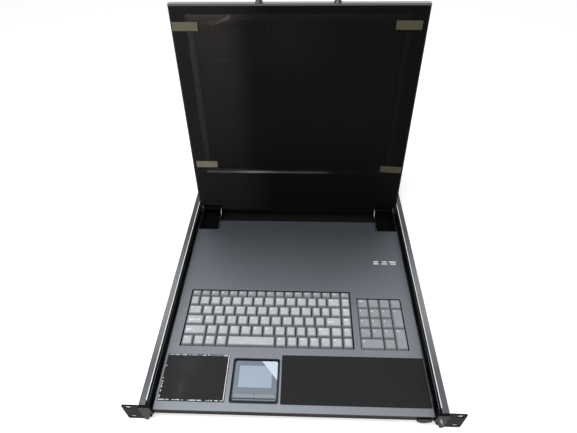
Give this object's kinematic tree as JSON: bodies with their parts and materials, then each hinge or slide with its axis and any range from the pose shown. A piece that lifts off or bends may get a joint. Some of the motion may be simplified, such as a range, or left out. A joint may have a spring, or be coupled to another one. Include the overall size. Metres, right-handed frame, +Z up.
{
  "type": "rackmount lcd console drawer",
  "caption": "One-rack-unit pull-out console on ball slides, with a keyboard and touchpad deck, a hinged screen lid, a pull handle and rear connectors.",
  "frame": {"origin": "centre of the four-slot rack pattern, on the rear face of the two ears", "axes": "+X to the operator's right, +Y into the rack, +Z up"},
  "size_m": [0.4826, 0.56, 0.4562],
  "materials": {
    "rail_steel": "satin grey",
    "ear_paint": "satin black",
    "cage_steel": "bright",
    "zinc_steel": "zinc plated",
    "black_plastic": "matt black",
    "deck_paint": "satin dark grey",
    "body_paint": "satin black",
    "key_plastic": "satin dark grey",
    "plate_steel": "plain",
    "clear_film": "clear film",
    "touch_plastic": "satin blue grey",
    "lens_plastic": "dark lens",
    "bezel_plastic": "satin black",
    "screen_glass": "dark screen",
    "tape": "translucent tape",
    "handle_metal": "satin black",
    "board_green": "solder resist",
    "socket_metal": "bright"
  },
  "bodies": {
    "frame": {"outer_rail_left": "rail_steel", "outer_rail_right": "rail_steel", "rack_ear_left": "ear_paint", "rack_ear_right": "ear_paint", "ear_rivets": "zinc_steel", "rear_stops": "black_plastic"},
    "drawer": {"inner_rail_left": "rail_steel", "inner_rail_right": "rail_steel", "rail_spacers": "black_plastic", "drawer_pan": "deck_paint", "keyboard_deck": "deck_paint", "corner_cap_left": "black_plastic", "corner_cap_right": "black_plastic", "keyboard_plate": "plate_steel", "keyboard_posts": "black_plastic", "palm_pad_left": "black_plastic", "palm_pad_right": "black_plastic", "palm_film": "clear_film", "touchpad_tub": "black_plastic", "touchpad_module": "touch_plastic", "touchpad_surface": "touch_plastic", "indicator_lights": "lens_plastic", "latch_straps": "zinc_steel", "hinge_bracket_left": "body_paint", "hinge_bracket_right": "body_paint", "hinge_pins": "zinc_steel", "rear_housing": "body_paint", "rear_cover": "body_paint", "main_board": "board_green", "power_inlet": "black_plastic", "power_switch_frame": "black_plastic", "video_socket": "socket_metal", "cover_screws": "zinc_steel"},
    "lid": {"hinge_arm_left": "body_paint", "hinge_arm_right": "body_paint", "lid_cover": "body_paint", "lid_bezel": "bezel_plastic", "lid_posts": "plate_steel", "lcd_panel": "screen_glass", "protective_film": "clear_film", "film_tapes": "tape", "pull_handle": "handle_metal"},
    "latch": {"release_latch": "black_plastic"},
    "rocker": {"power_rocker": "black_plastic"},
    "touch_button_left": {"touchpad_button_left": "touch_plastic"},
    "touch_button_right": {"touchpad_button_right": "touch_plastic"},
    "middle_left": {"middle_rail_left": "rail_steel"},
    "outer_cage_left": {"outer_ball_cage_left": "cage_steel"},
    "inner_cage_left": {"inner_ball_cage_left": "cage_steel"},
    "middle_right": {"middle_rail_right": "rail_steel"},
    "outer_cage_right": {"outer_ball_cage_right": "cage_steel"},
    "inner_cage_right": {"inner_ball_cage_right": "cage_steel"},
    "function_row": {"function_keys": "key_plastic"},
    "number_row": {"number_keys": "key_plastic"},
    "upper_letter_row": {"upper_letter_keys": "key_plastic"},
    "home_letter_row": {"home_letter_keys": "key_plastic"},
    "lower_letter_row": {"lower_letter_keys": "key_plastic"},
    "bottom_row": {"bottom_keys": "key_plastic"},
    "space_bar": {"space_bar": "key_plastic"},
    "numpad": {"numpad_keys": "key_plastic"}
  },
  "joints": [
    {"name": "drawer_slide", "type": "slide", "parent": "frame", "child": "drawer", "axis": [0, -1, 0], "range_m": [0, 0.43]},
    {"name": "middle_rail_slide_left", "type": "slide", "parent": "frame", "child": "middle_left", "axis": [0, -1, 0], "range_m": [0, 0.215]},
    {"name": "outer_cage_slide_left", "type": "slide", "parent": "frame", "child": "outer_cage_left", "axis": [0, -1, 0], "range_m": [0, 0.1075]},
    {"name": "inner_cage_slide_left", "type": "slide", "parent": "frame", "child": "inner_cage_left", "axis": [0, -1, 0], "range_m": [0, 0.3225]},
    {"name": "middle_rail_slide_right", "type": "slide", "parent": "frame", "child": "middle_right", "axis": [0, -1, 0], "range_m": [0, 0.215]},
    {"name": "outer_cage_slide_right", "type": "slide", "parent": "frame", "child": "outer_cage_right", "axis": [0, -1, 0], "range_m": [0, 0.1075]},
    {"name": "inner_cage_slide_right", "type": "slide", "parent": "frame", "child": "inner_cage_right", "axis": [0, -1, 0], "range_m": [0, 0.3225]},
    {"name": "lid_hinge", "type": "hinge", "parent": "drawer", "child": "lid", "pos_m": [0, 0.4177, 0.01285], "axis": [1, 0, 0], "range_deg": [-15, 96.9]},
    {"name": "function_row_press", "type": "slide", "parent": "drawer", "child": "function_row", "axis": [0, 0, -1], "range_m": [0, 0.002], "stiffness_N_per_m": 1020, "springref_m": -0.004},
    {"name": "number_row_press", "type": "slide", "parent": "drawer", "child": "number_row", "axis": [0, 0, -1], "range_m": [0, 0.002], "stiffness_N_per_m": 900, "springref_m": -0.004},
    {"name": "upper_letter_row_press", "type": "slide", "parent": "drawer", "child": "upper_letter_row", "axis": [0, 0, -1], "range_m": [0, 0.002], "stiffness_N_per_m": 900, "springref_m": -0.004},
    {"name": "home_letter_row_press", "type": "slide", "parent": "drawer", "child": "home_letter_row", "axis": [0, 0, -1], "range_m": [0, 0.002], "stiffness_N_per_m": 840, "springref_m": -0.004},
    {"name": "lower_letter_row_press", "type": "slide", "parent": "drawer", "child": "lower_letter_row", "axis": [0, 0, -1], "range_m": [0, 0.002], "stiffness_N_per_m": 840, "springref_m": -0.004},
    {"name": "bottom_row_press", "type": "slide", "parent": "drawer", "child": "bottom_row", "axis": [0, 0, -1], "range_m": [0, 0.002], "stiffness_N_per_m": 660, "springref_m": -0.004},
    {"name": "space_bar_press", "type": "slide", "parent": "drawer", "child": "space_bar", "axis": [0, 0, -1], "range_m": [0, 0.002], "stiffness_N_per_m": 120, "springref_m": -0.004},
    {"name": "numpad_press", "type": "slide", "parent": "drawer", "child": "numpad", "axis": [0, 0, -1], "range_m": [0, 0.002], "stiffness_N_per_m": 1020, "springref_m": -0.004},
    {"name": "touch_button_press_left", "type": "slide", "parent": "drawer", "child": "touch_button_left", "axis": [0, 0, -1], "range_m": [0, 0.0008], "stiffness_N_per_m": 150, "springref_m": -0.003},
    {"name": "touch_button_press_right", "type": "slide", "parent": "drawer", "child": "touch_button_right", "axis": [0, 0, -1], "range_m": [0, 0.0008], "stiffness_N_per_m": 150, "springref_m": -0.003},
    {"name": "release_latch_slide", "type": "slide", "parent": "drawer", "child": "latch", "axis": [-1, 0, 0], "range_m": [0, 0.005], "stiffness_N_per_m": 250, "springref_m": -0.008},
    {"name": "power_rocker_tip", "type": "hinge", "parent": "drawer", "child": "rocker", "pos_m": [-0.112, 0.548, -0.00125], "axis": [-1, 0, 0], "range_deg": [0, 20]}
  ],
  "couplings": [
    {"joint": "middle_rail_slide_left", "follows": "drawer_slide", "ratio": 0.5},
    {"joint": "outer_cage_slide_left", "follows": "drawer_slide", "ratio": 0.25},
    {"joint": "inner_cage_slide_left", "follows": "drawer_slide", "ratio": 0.75},
    {"joint": "middle_rail_slide_right", "follows": "drawer_slide", "ratio": 0.5},
    {"joint": "outer_cage_slide_right", "follows": "drawer_slide", "ratio": 0.25},
    {"joint": "inner_cage_slide_right", "follows": "drawer_slide", "ratio": 0.75}
  ]
}
